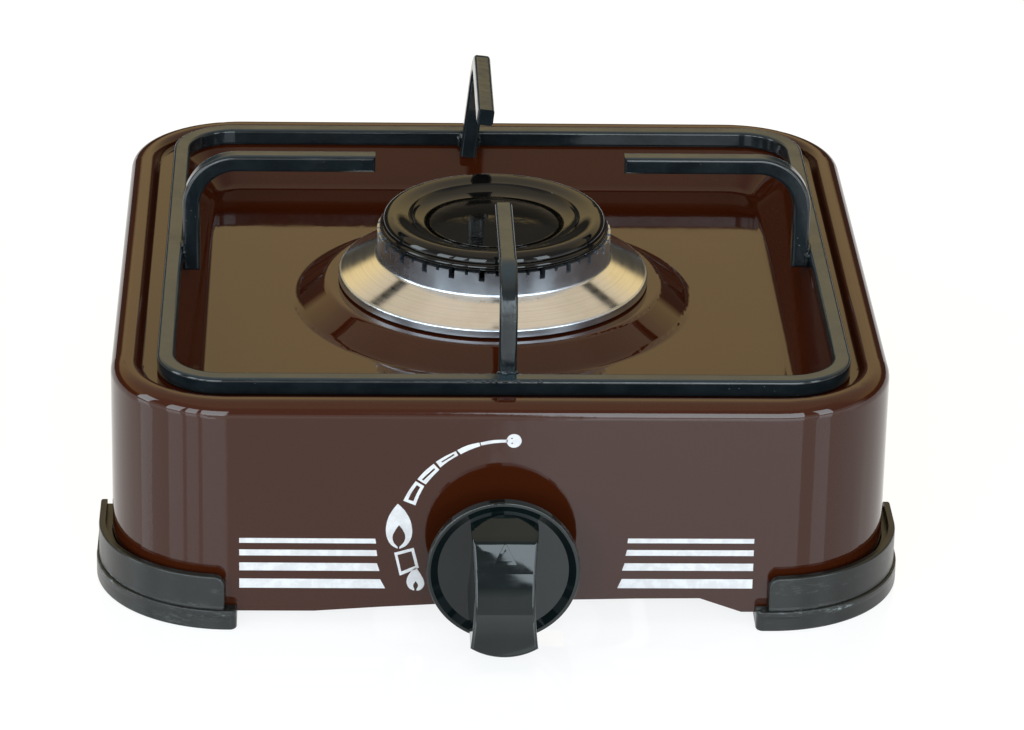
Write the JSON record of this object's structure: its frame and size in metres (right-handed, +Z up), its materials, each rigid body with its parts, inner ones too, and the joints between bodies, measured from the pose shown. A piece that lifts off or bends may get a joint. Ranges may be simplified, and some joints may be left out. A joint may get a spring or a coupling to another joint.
{
  "type": "gas stove",
  "caption": "Square enamelled steel tabletop gas stove with one round burner, a lift-off pan support on bent arms, a turning knob and a rear hose tail.",
  "frame": {"origin": "on the ground, under the burner's axis, halfway between the knob's front and the hose tail's end", "axes": "+Z up; -Y is the front, where the knob is; +X is to the right, seen from the front"},
  "size_m": [0.2712, 0.333, 0.1162],
  "materials": {
    "enamel": "glossy vitreous enamel, chocolate brown",
    "black_enamel": "glossy black enamel on bent steel bar",
    "cap_enamel": "glossy black enamel",
    "polished_aluminium": "turned and polished casting",
    "cast_aluminium": "as cast",
    "foot_plastic": "moulded, satin, dark grey",
    "knob_plastic": "moulded, glossy, near black",
    "brass": "machined",
    "pipe_steel": "drawn tube, plain",
    "zinc_steel": "zinc plated",
    "spring_steel": "plain"
  },
  "bodies": {
    "housing": {"body_shell": "enamel", "foot_front_left": "foot_plastic", "foot_front_right": "foot_plastic", "foot_rear_left": "foot_plastic", "foot_rear_right": "foot_plastic", "foot_screws": "zinc_steel", "burner_cup": "cast_aluminium", "burner_cup_screws": "zinc_steel", "mixing_tube": "zinc_steel", "injector": "brass", "tap_body": "brass", "tap_gland": "brass", "tap_screws": "zinc_steel", "gas_pipe": "pipe_steel", "pipe_nut": "brass", "hose_tail": "brass", "inlet_lock_nut": "brass"},
    "tap_core": {"tap_plug": "brass", "tap_spring": "spring_steel"},
    "knob": {"tap_stem": "brass", "knob": "knob_plastic", "knob_clip": "spring_steel"},
    "pan_support": {"pan_support_ring": "black_enamel", "pan_support_arm_front": "black_enamel", "pan_support_arm_back": "black_enamel", "pan_support_arm_left": "black_enamel", "pan_support_arm_right": "black_enamel"},
    "burner_head": {"burner_head": "polished_aluminium"},
    "burner_cap": {"burner_cap": "cap_enamel"}
  },
  "joints": [
    {"name": "tap_turn", "type": "hinge", "parent": "housing", "child": "tap_core", "pos_m": [0, -0.108, 0.0268], "axis": [0, -1, 0], "range_deg": [0, 111]},
    {"name": "knob_push", "type": "slide", "parent": "tap_core", "child": "knob", "axis": [0, 1, 0], "range_m": [0, 0.003], "stiffness_N_per_m": 1500, "springref_m": -0.001, "deforming": ["tap_spring"]},
    {"name": "pan_support_lift", "type": "slide", "parent": "housing", "child": "pan_support", "axis": [0, 0, 1], "range_m": [0, 0.06]},
    {"name": "burner_head_lift", "type": "slide", "parent": "housing", "child": "burner_head", "axis": [0, 0, 1], "range_m": [0, 0.024]},
    {"name": "burner_cap_lift", "type": "slide", "parent": "burner_head", "child": "burner_cap", "axis": [0, 0, 1], "range_m": [0, 0.03]}
  ]
}
